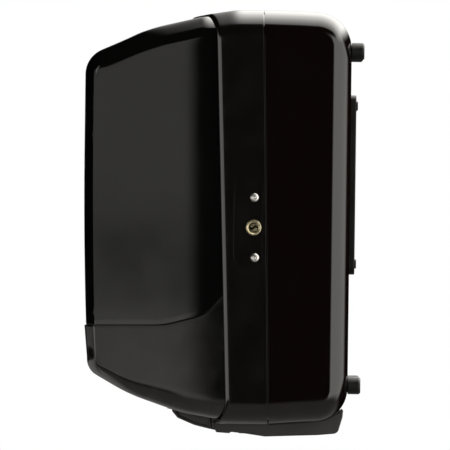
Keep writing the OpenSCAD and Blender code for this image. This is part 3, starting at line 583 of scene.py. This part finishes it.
def housing_skin():
    top = rounded([(LEDGE, TOP + 0.4, 0), (-48.7, 154.5, 0), (BACK, 152.6, 27), (BACK, 60, 0)], 40)
    low = rounded([(LEDGE, BOTTOM - 1, 0), (-45, -152.8, 0), (BACK, -151, 25), (BACK, -60, 0)], 60)
    side = rounded([(LEDGE, SHELL_W, 0), (BACK, SHELL_W, REAR_R), (BACK, 40, 0)], 60)
    # the forward parts of these lines, without the stretch down the back face
    top = top[top[:, 1] > CURL]
    low = low[low[:, 1] < -CURL]
    side = side[side[:, 1] > SHELL_W - REAR_R - 0.1]
    rear = top[top[:, 0] > -40]
    front = np.linspace(SEAM + SEAM_GAP, rear[0, 0] - 3, 8)
    depths = np.concatenate([front, rear[:, 0]])
    depths[-1] = BACK
    section = Section(around(corner=16, wall=30, roof=26, middle=12))
    rings = []
    for depth in depths:
        end = depth >= BACK - 1e-6
        t = rear[-1, 1] if end else value_at(top, depth)
        b = low[-1, 1] if end else value_at(low, depth)
        w = SHELL_W - REAR_R if end else value_at(side, depth)
        x, z = section.place(w, t, b, EDGE_R, EDGE_R)
        lean = 1 - smoothstep((depth - SEAM) / LEAN_RUN)
        rings.append(np.column_stack([x, depth - z * SEAM_SLOPE * lean, z]))
    bm = bmesh.new()
    verts = grid_mesh(bm, np.array(rings), wrap=True)
    bm.faces.new(verts[-1])
    return finish_mesh(bm, "housing", (0, SEAM + 10, 0))


def seam_tongue():
    """A thin rim inside the seam, so that no light shows through it."""
    section = Section(around(corner=12, wall=8, roof=10, middle=8))
    inset = WALL + 0.9
    x, z = section.place(SHELL_W - inset, TOP - inset, BOTTOM + inset,
                         EDGE_R - inset, EDGE_R - inset)
    rings = [np.column_stack([x, SEAM + dy - z * SEAM_SLOPE, z]) for dy in (4, 1, -2)]
    bm = bmesh.new()
    grid_mesh(bm, np.array(rings), wrap=True)
    tongue = new_object("tongue", finish_mesh(bm, "tongue", (0, SEAM, 0)))
    thicken(tongue, TONGUE_T, 0.2)
    return settle(tongue)


def make_housing():
    skin = new_object("housing", housing_skin())
    thicken(skin, WALL, WALL_EDGE)
    settle(skin)
    skin.modifiers.clear()
    for x, z in HOLES:
        cut(skin, lathe("hole", [(0, HOLE_R), (8, HOLE_R)], "y", (x, BACK - 6, z), 40))
    boss = [(-4, HOLE_R), (-4, 6.4), (-3.4, 7), (0.3, 7), (0.3, HOLE_R), (-4, HOLE_R)]
    extras = [lathe("boss", boss, "y", (x, BACK - WALL, z), 40) for x, z in HOLES]
    extras += [knuckle(s * HINGE_HEIGHT - KNUCKLE_LEN / 2, 1) for s in (-1, 1)]
    extras.append(seam_tongue())
    piece = join("back_housing_shell", [skin, *extras])
    settle(piece)
    return dress(piece, "gloss_black", "wall_unit", stands_for=["back_housing"])


# ---------- cover frame ----------

def frame_edge(x, z):
    """Depth of the frame's bowed, leaning front edge."""
    bow_r = (SHELL_W ** 2 + BOW ** 2) / (2 * BOW)
    bow = np.sqrt(bow_r ** 2 - np.clip(np.abs(x), 0, SHELL_W) ** 2) - (bow_r - BOW)
    return EDGE - z * EDGE_SLOPE - bow


def frame_skin():
    top = rounded([(-30, TOP, 0), (-96, TOP - 0.3, 60), (-135, 148.8, 0)], 30)
    section = Section(around(corner=16, wall=36, roof=44, middle=0))
    rings = []
    round_steps = [(1, math.radians(15 * i)) for i in range(1, 7)]
    for share, turn in [(i / 12, 0) for i in range(13)] + round_steps:
        inset = FRONT_R * (1 - math.cos(turn))
        depth = np.full(section.count, LEDGE)
        for _ in range(4):
            t = value_at(top, depth) - inset
            x, z = section.place(SHELL_W - inset, t, BOTTOM + inset,
                                 EDGE_R - inset, EDGE_R - inset)
            back = SEAM - SEAM_GAP - z * SEAM_SLOPE
            depth = back + share * (frame_edge(x, z) + FRONT_R * (1 - math.sin(turn)) - back)
        rings.append(np.column_stack([x, depth, z]))
    bm = bmesh.new()
    grid_mesh(bm, np.array(rings))
    return finish_mesh(bm, "frame", (0, -88, 0))


def lock_recess():
    """The shallow pocket round the lock and rivets. Its front and rear sides slope."""
    middle = [(a + b) / 2 for a, b in zip(POCKET_LOW, POCKET_HIGH)]
    half_y, half_z = ((b - a) / 2 for a, b in zip(POCKET_LOW, POCKET_HIGH))
    rings = []
    for x, grow in ((SHELL_W - POCKET_D, 0), (SHELL_W + 1, 0.7)):
        rings.append([(x, y, z) for y, z in round_rectangle(middle, (half_y + grow, half_z), 7)])
    return loft("recess", rings)


def make_frame():
    skin = new_object("frame", frame_skin())
    thicken(skin, WALL, WALL_EDGE)
    settle(skin)
    skin.modifiers.clear()
    cut(skin, lock_recess())
    bore = LOCK_R + 0.15
    cut(skin, lathe("lock_hole", [(0, bore), (12, bore)], "x", (92, LOCK_Y, LOCK_Z), 64))
    knuckles = [knuckle(s * HINGE_HEIGHT + z, -1) for s in (-1, 1)
                for z in (0.5 * KNUCKLE_LEN + 0.4, -1.5 * KNUCKLE_LEN - 0.4)]
    piece = join("cover_frame_shell", [skin, *knuckles])
    settle(piece)
    return dress(piece, "band_black", "cover", ["cover_frame"])


# ---------- window and chin ----------

WINDOW_PLAN, CHIN_PLAN = ([(-60, 97.1, 0), (-128, 97.1, 487), (-202.1, 90.2, corner), (-207.9, 45, 0)]
                          for corner in (0.9, 1.6))
WALL_CROWN, WALL_CROWN_Z = 0.0055, 110  # the walls draw in by this share of the width, at this height
FACE = -209.2                           # foremost depth of the window
FACE_SAG, FACE_SAG_Z = 1.587e-4, 50     # the window's face falls back below this height
CHIN_FACE, CHIN_LEAN, CHIN_Z = -207.4, 0.09, -85    # the chin's face, and its slope from this height
CROWN, CROWN_X, CROWN_POWER = 7.2, 90, 2.4          # how far the face falls back towards its sides
WINDOW_TOP = [(-60, 150.2, 0), (-118, 149.8, 40), (-160, 140.4, 150), (FACE, 119.5, 20),
              (FACE, 100, 0)]
CHIN_BOTTOM = [(-60, -152.4, 0), (-112, -151.3, 60), (-136.5, -146.9, 80), (-178, -132.4, 100),
               (-206.6, -116, 14), (-207.0, -106, 0)]
CHIN_LINE = rounded([(-230, -82.6, 0), (-150, -81.6, 60), (-118, -73.5, 30), (-96, -50, 0),
                     (-60, -40, 0)])
CROWN_START, CROWN_RUN = -165, 38       # where the top and bottom take up the front's crown
SPLIT = -192.0                          # behind this the rings lie at shared depths
BELLY_RINGS, FRONT_RINGS = 12, 16       # rings as far as the open belly's front, and from there on
THROWN, TUCK = 0.35, 0.6                # what counts as in front of the face, and how far under it


def window_front(x, z):
    return FACE + FACE_SAG * np.clip(FACE_SAG_Z - z, 0, None) ** 2 + crown(x)


def chin_front(x, z):
    return CHIN_FACE + CHIN_LEAN * (CHIN_Z - z) + crown(x)


def crown(x):
    return CROWN * (np.abs(x) / CROWN_X) ** CROWN_POWER


def shifted(line, inset):
    """A forward-running line moved towards the middle of the shell."""
    step = np.gradient(line, axis=0)
    step /= np.linalg.norm(step, axis=1)[:, None]
    normal = np.column_stack([-step[:, 1], step[:, 0]])
    normal *= np.sign(-normal[:, 1:2] * line[:, 1:2] + 1e-12)
    return line + normal * inset


def front_rings(section, top, side, low, front, corners, low_edge, high_edge):
    """Rings of the front form, from the frame's ledge to the front face."""
    depths = np.concatenate([np.linspace(LEDGE, BELLY_FRONT, BELLY_RINGS),
                             np.linspace(BELLY_FRONT, SPLIT, FRONT_RINGS)[1:]])
    side_at = along(side, depths, SPLIT)
    top_at = along(top, depths, SPLIT) if top is not None else side_at
    low_at = along(low, depths, SPLIT) if low is not None else side_at
    lift = smoothstep(np.abs(np.sin(section.phi)))
    lower = np.sin(section.phi) < -1e-9

    def share(k):
        return smoothstep((LEDGE - side_at[k, 0]) / (LEDGE - side_at[-1, 0]))

    def depth(k):
        here = np.where(lower, low_at[k, 0], top_at[k, 0])
        return side_at[k, 0] + lift * (here - side_at[k, 0])

    def across(k):
        edge = value_at(CHIN_LINE, side_at[k, 0])
        corner = corners[0] + share(k) * (corners[1] - corners[0])
        x, z = section.place(side_at[k, 1], top_at[k, 1], low_at[k, 1], corner, corner,
                             low=edge + low_edge if low_edge is not None else None,
                             high=edge + high_edge if high_edge is not None else None)
        return x * (1 - WALL_CROWN * (z / WALL_CROWN_Z) ** 2), z

    x_end = across(-1)[0]
    shift = front(*across(-1)) - depth(-1)
    rings = []
    for k in range(len(side_at)):
        x, z = across(k)
        y = depth(k) + share(k) * shift - (1 - share(k)) * z * SEAM_SLOPE
        y += lift * smoothstep((CROWN_START - depth(k)) / CROWN_RUN) * (crown(x) - crown(x_end))
        rings.append(np.column_stack([x, y, z]))
    return np.array(rings)


def coons(near, far, right, left, front):
    """A grid between four edges, on the front surface. near and far run from right to left."""
    u = np.linspace(0, 1, len(near))[None, :, None]
    v = np.linspace(0, 1, len(right))[:, None, None]
    flat = ((1 - v) * near[None] + v * far[None] + (1 - u) * right[:, None] + u * left[:, None]
            - (1 - u) * (1 - v) * near[0] - u * (1 - v) * near[-1]
            - (1 - u) * v * far[0] - u * v * far[-1])
    y = front(flat[..., 0], flat[..., 1])
    return np.stack([flat[..., 0], y, flat[..., 1]], axis=-1)


def straight(edge, like):
    """Points on a level line, spaced like the edge facing them."""
    share = (like[:, 0] - like[-1, 0]) / (like[0, 0] - like[-1, 0])
    return np.column_stack([edge[0][0] * share + edge[1][0] * (1 - share),
                            edge[0][1] * share + edge[1][1] * (1 - share)])


def tuck_in(obj, front):
    """Brings points that a corner's bevel threw out in front of the face back under it."""
    for vertex in obj.data.vertices:
        x, y, z = vertex.co / MM
        if y < front(x, z) - THROWN:
            vertex.co.y = (front(x, z) + TUCK) * MM


def make_window():
    wall_n, corner_n, roof_n = 46, 14, 40
    section = Section([("wall_right", wall_n), ("corner_high_right", corner_n), ("roof", roof_n),
                       ("corner_high_left", corner_n), ("wall_left", wall_n)])
    side = shifted(rounded(WINDOW_PLAN), STEP)
    rings = front_rings(section, rounded(WINDOW_TOP), side, None, window_front,
                        (16.1, 16.1), 0.3, None)
    last = rings[-1][:, [0, 2]]
    turn = wall_n + corner_n // 2
    right, far, left = last[:turn + 1], last[turn:-turn], last[::-1][:turn + 1]
    near = straight((right[0], left[0]), far)
    bm = bmesh.new()
    grid_mesh(bm, rings)
    grid_mesh(bm, coons(near, far, right, left, window_front))
    window = new_object("smoked_window_shell", finish_mesh(bm, "window", (0, -120, 20)))
    thicken(window, WINDOW_T, 0.5)
    settle(window)
    tuck_in(window, window_front)
    return dress(window, "smoked_window", "cover", stands_for=["cover_window"])


def make_chin():
    wall_n, corner_n, floor_n, middle_n = 14, 16, 6, 24
    section = Section([("wall_left", wall_n), ("corner_low_left", corner_n), ("floor_left", floor_n),
                       ("floor_middle", middle_n), ("floor_right", floor_n),
                       ("corner_low_right", corner_n), ("wall_right", wall_n)])
    rings = front_rings(section, None, rounded(CHIN_PLAN), rounded(CHIN_BOTTOM), chin_front,
                        (EDGE_R, 9), None, 0)
    first = wall_n + corner_n + floor_n
    open_floor = range(first, first + middle_n)
    last = rings[-1][:, [0, 2]][::-1]
    turn = wall_n + corner_n // 2
    right, far, left = last[:turn + 1], last[turn:-turn], last[::-1][:turn + 1]
    near = straight((right[0], left[0]), far)
    bm = bmesh.new()
    grid_mesh(bm, rings, skip=lambda k, j: k < BELLY_RINGS - 1 and j in open_floor)
    grid_mesh(bm, coons(near, far, right, left, chin_front))
    chin = new_object("chin_cover", finish_mesh(bm, "chin", (0, -120, -90)))
    thicken(chin, CHIN_T, 0.6)
    settle(chin)
    tuck_in(chin, chin_front)
    return dress(chin, "satin_black", "cover", stands_for=["chin_shell"])


# ---------- lower lip and tray ----------

LIP_BOW = 1.4                           # the joint between lip and tray bows forward this much


def make_lip():
    outline = rounded([(-150, -140.25, 0), (-141.4, -142.6, 0), (-140.6, -146.2, 0), (-136.6, -150.9, 3),
                       (-124, -156.2, 30), (-111.6, -159.1, 0), (-111.6, -156.5, 0), (-124, -153.4, 26),
                       (-135, -148.6, 3), (-137.6, -141.6, 1), (-150, -137.85, 0)], 10)
    parts = [prism_x("lip", outline, -60, 60, LIP_BOW, TRAY_LOW.y)]
    flank = [(-137.6, -144.6), (-117.6, -145.6), (-117.6, -149.3), (-112.2, -149.3), (-111.7, -157.8),
             (-124, -154.9), (-135.6, -150.2), (-138.6, -146.6)]
    parts += [prism_x("flank", flank, x, x + 2.4) for x in (-60, 57.6)]
    lip = join("lower_lip_cover", parts)
    soften(lip, 0.4, 2, 50)
    settle(lip)
    return dress(lip, "tray_black", "cover", ["lower_lip"])


def make_tray():
    roof = [(SEAM + 4, -154.75, 0), (-45, -153.0, 0), (-27, -151.3, 0), (-19, -147.2, 0),
            (-12.4, -143.5, 0)]
    outline = rounded([(TRAY_LOW.y, -149.2, 0), (TRAY_LOW.y, -159.2, 0.6), (-107.6, -159.9, 0),
                       (-107.4, -161.4, 0.4), (-97.6, -162.0, 0.4), (-96.6, -161.0, 0), (-85, -162.2, 60),
                       (-71, TRAY_LOW.z, 12), (-31, -162.6, 40), (-16.5, -161.2, 4.5), (-12.9, -149, 8),
                       *roof[::-1], (SEAM + 4, -149.2, 0), (TRAY_LOW.y, -149.2, 0)], 12)[:-1]
    tray = prism_x("bottom_tray_cover", outline, TRAY_LOW.x, TRAY_HIGH.x, LIP_BOW, TRAY_LOW.y)
    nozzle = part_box("nozzle")
    nozzle_y = (nozzle[0].y + nozzle[1].y) / 2 / MM
    # under the nozzle, the sensor's lens, the light and the two screws
    for x, y, r in ((0, nozzle_y, 6.4), (0, -86, 4.55), (16, -86, 1.65), (-48, -98, 1.9), (48, -98, 1.9)):
        cut(tray, lathe("hole", [(0, r), (24, r)], "z", (x, y, -170), 48))
    soften(tray, 0.8, 3, 50)
    settle(tray)
    return dress(tray, "tray_black", "wall_unit", ["bottom_tray"])


# ---------- fastenings ----------

def make_rivets():
    face = SHELL_W - POCKET_D
    dome = [(-1.4, 1.5), (-0.05, 1.5), (-0.05, RIVET_R - 0.1), (0.08, RIVET_R), (0.25, RIVET_R)]
    dome += [(0.25 + 0.95 * math.sin(a), 1.45 + (RIVET_R - 1.45) * math.cos(a))
             for a in (math.radians(10 * i) for i in range(1, 10))]
    dome += [(1.16, 1.3), (0.85, 1.15), (0.85, 0.6), (0.95, 0.4), (1.0, 0)]
    rivets = join("lock_rivet_heads", [lathe("rivet", dome, "x", (face, y, z), 48) for y, z in RIVETS])
    settle(rivets, 50)
    return dress(rivets, "rivet_metal", "cover", ["lock_rivets"])


def make_lock():
    face = SHELL_W
    ring = [(-13.6, 3.68), (-13.6, 4.6), (-13.2, 4.7), (-2.7, 4.7), (-2.7, LOCK_R), (0.1, LOCK_R),
            (0.32, LOCK_R - 0.1), (0.4, LOCK_R - 0.35), (0.4, 4.75), (0.15, 4.5), (0.05, 4.2), (0.05, 3.68),
            (-13.6, 3.68)]
    barrel = lathe("lock_barrel_ring", ring, "x", (face, LOCK_Y, LOCK_Z), 96)
    settle(barrel, 40)
    dress(barrel, "lock_brass", "cover", stands_for=["lock_barrel"])
    disc = [(-13.6, 0), (-13.6, 3.6), (-3.6, 3.6), (-1.8, 3.1), (-0.1, 3.1), (0.05, 3.0), (0.1, 2.8),
            (0.1, 0)]
    plug = lathe("lock_plug_face", disc, "x", (face, LOCK_Y, LOCK_Z), 96)
    turn = Matrix.Rotation(math.radians(-50), 4, "X")
    for y, z, wide, tall in ((0, 0, 0.75, 2.7), (-0.9, -2.0, 1.3, 0.65), (0.9, 2.0, 1.3, 0.65)):
        rings = [[tuple(turn @ Vector((x, y + a * wide * share, z + b * tall * share))
                        + Vector((face, LOCK_Y, LOCK_Z))) for a, b in SQUARE]
                 for x, share in ((-9, 0.06), (0.3, 1))]
        cut(plug, loft("slot", rings))
    drive = loft("drive", [[(x, LOCK_Y + a * 1.6, LOCK_Z + b * 1.6) for a, b in SQUARE]
                           for x in (82, 86.6)])
    plug = join("lock_plug_core", [plug, drive])
    settle(plug, 30)
    return dress(plug, "lock_core", "lock", ["lock_plug"])


def make_standoffs():
    length = -BACK
    sleeve = [(-length, HOLE_R), (-length, 6.1), (-length + 0.4, 6.5), (-1.3, 6.5), (-0.25, 5.6),
              (0, 5.3), (0, 2.9), (-0.3, HOLE_R), (-length, HOLE_R)]
    made = join("rubber_standoffs", [lathe("standoff", sleeve, "y", (x, 0, z), 56) for x, z in HOLES])
    settle(made, 38)
    return dress(made, "rubber", "wall_unit", stands_for=["wall_standoffs"])


RIB_COUNT, RIB_FIRST, RIB_PITCH, RIB_HALF = 5, 24, 21.6, 38


def make_plate():
    """The rear access plate, with a raised border and five pressed ribs."""
    mid_z, half_z = (PLATE_HIGH.z + PLATE_LOW.z) / 2, (PLATE_HIGH.z - PLATE_LOW.z) / 2

    def outline(y, inset):
        half = (PLATE_HIGH.x - inset, half_z - inset)
        return [(x, y, z) for x, z in round_rectangle((0, mid_z), half, max(6 - inset, 1))]

    back = PLATE_HIGH.y + 0.4
    plate = loft("plate", [outline(BACK, 0), outline(back - 0.5, 0), outline(back, 0.5),
                           outline(back, 6), outline(back - 0.9, 7)])
    ribs = []
    for i in range(RIB_COUNT):
        z = PLATE_LOW.z + RIB_FIRST + i * RIB_PITCH
        rings = [[(a * RIB_HALF, y, z + b * half) for a, b in SQUARE]
                 for y, half in ((back - 1.2, 2), (back - 0.1, 1.3))]
        ribs.append(loft("rib", rings))
    made = join("rear_plate", [plate, *ribs])
    soften(made, 0.25, 2, 40)
    settle(made, 40)
    return dress(made, "plate_black", "wall_unit", ["rear_access_plate"])


# ---------- stage, light and camera ----------

def make_floor():
    size, height = 3.0, -0.62
    bm = bmesh.new()
    steps = 12
    for i in range(steps + 1):
        for j in range(steps + 1):
            bm.verts.new(((i / steps - 0.5) * 2 * size, (j / steps - 0.5) * 2 * size, height))
    bm.verts.ensure_lookup_table()
    for i in range(steps):
        for j in range(steps):
            a = i * (steps + 1) + j
            bm.faces.new([bm.verts[k] for k in (a, a + steps + 1, a + steps + 2, a + 1)])
    floor = new_object("floor", mesh_of(bm, "floor"))
    paper = Finish("paper_floor", (0.80, 0.80, 0.79), 0.8)
    paper.set_colour((0.79, 0.79, 0.78), (0.81, 0.81, 0.80), 4)
    floor.data.materials.append(paper.material)
    floor.visible_glossy = False


def make_world():
    """A white room for the camera; for reflections, a dark room with a few soft boxes."""
    world = bpy.data.worlds.new("studio")
    bpy.context.scene.world = world
    world.use_nodes = True
    tree = world.node_tree
    tree.nodes.clear()
    link = tree.links.new

    def math_node(kind, *values):
        node = tree.nodes.new("ShaderNodeMath")
        node.operation = kind
        for i, value in enumerate(values):
            if isinstance(value, (int, float)):
                node.inputs[i].default_value = value
            else:
                link(value, node.inputs[i])
        return node.outputs[0]

    def rise(value, middle, soft):
        return map_range(tree, value, middle - soft, middle + soft, kind="SMOOTHSTEP")

    def ramp(value, start, end, low, high):
        return map_range(tree, value, start, end, low, high)

    def between(value, low, high, soft_low, soft_high):
        return math_node("MULTIPLY", rise(value, low, soft_low),
                         math_node("SUBTRACT", 1.0, rise(value, high, soft_high)))

    split = tree.nodes.new("ShaderNodeSeparateXYZ")
    link(tree.nodes.new("ShaderNodeTexCoord").outputs["Generated"], split.inputs[0])
    x, y, z = split.outputs
    # azimuth from +X: positive towards the back (+Y), negative towards the front; both in degrees
    azimuth = math_node("MULTIPLY", math_node("ARCTAN2", y, x), 180 / math.pi)
    elevation = math_node("MULTIPLY", math_node("ARCSINE", z), 180 / math.pi)
    # roll is the angle from straight up towards the back; sweep runs from +X over the top to -X
    roll = math_node("MULTIPLY", math_node("ARCTAN2", y, z), 180 / math.pi)
    sweep = math_node("MULTIPLY", math_node("ARCCOSINE", x), 180 / math.pi)
    overhead = math_node("MULTIPLY", rise(sweep, 58, 2.5), ramp(sweep, 58, 98, 2.2, 9.0))
    overhead = math_node("MULTIPLY", overhead, ramp(sweep, 121, 170, 1, 0.10))
    overhead = math_node("MULTIPLY", overhead, between(roll, -5, 62, 5, 10))
    front_top = math_node("MULTIPLY", between(roll, -18, -7, 5, 2), rise(sweep, 66, 5))
    grey = math_node("ADD", ramp(elevation, -0.42, -0.05, 0.42, 0.76),
                     ramp(elevation, -1.5, -1.05, 0.8, 0))
    total = math_node("ADD", overhead, 0.001)
    # the window's grey card, the front side box, the rear side box, the chin's strip, the top's front
    # edge and the floor's glow
    for across, upward, strength in [
        (between(azimuth, -12.6, -5.2, 0.5, 1.7), between(elevation, -30, 9, 15, 2), grey),
        (between(azimuth, -118, -14.4, 8, 0.8), between(elevation, -9, 6, 5, 3), 2.1),
        (between(azimuth, 14, 104, 5, 12), between(elevation, -26, 30, 10, 8), 2.6),
        (between(azimuth, -181, -118, 0.5, 8), between(elevation, -60, -1.5, 4, 0.3), 0.15),
        (front_top, 1.0, 0.72),
        (between(elevation, -90, -27, 1, 9), 1.0, 0.32),
    ]:
        amount = math_node("MULTIPLY", math_node("MULTIPLY", across, upward), strength)
        total = math_node("ADD", total, amount)
    soft = tree.nodes.new("ShaderNodeBackground")
    soft.inputs["Color"].default_value = (1.0, 0.975, 0.93, 1)
    link(total, soft.inputs["Strength"])
    white = tree.nodes.new("ShaderNodeBackground")
    white.inputs["Color"].default_value = (1, 1, 1, 1)
    choose = tree.nodes.new("ShaderNodeMixShader")
    link(tree.nodes.new("ShaderNodeLightPath").outputs["Is Camera Ray"], choose.inputs[0])
    link(soft.outputs[0], choose.inputs[1])
    link(white.outputs[0], choose.inputs[2])
    link(choose.outputs[0], tree.nodes.new("ShaderNodeOutputWorld").inputs["Surface"])
    bpy.context.scene.view_settings.view_transform = "Standard"


def make_camera():
    """Straight at the lock side, level, with a long lens and the picture's slight tilt."""
    tilt = math.radians(0.72)
    distance, width = 14.0, 0.3363
    aim = Vector((SHELL_W * MM, -0.1028, -0.0060))
    data = bpy.data.cameras.new("camera")
    data.sensor_width = 36
    data.lens = data.sensor_width * distance / width
    data.clip_start, data.clip_end = 1, 60
    camera = bpy.data.objects.new("camera", data)
    bpy.context.scene.collection.objects.link(camera)
    right = Vector((0, math.cos(tilt), math.sin(tilt)))
    up = Vector((0, -math.sin(tilt), math.cos(tilt)))
    back = Vector((1, 0, 0))
    turn = Matrix((right, up, back)).transposed().to_4x4()
    camera.matrix_world = Matrix.Translation(aim + back * distance) @ turn
    bpy.context.scene.camera = camera


# ---------- everything ----------

make_camera()
make_world()
make_floor()
make_housing()
make_frame()
make_window()
make_chin()
make_lip()
make_tray()
make_rivets()
make_lock()
make_standoffs()
make_plate()

for name, obj in frame["nodes"].items():
    if not obj.hide_render:
        obj.data.materials.clear()
        obj.data.materials.append(FINISH[NODE_FINISH[name]])
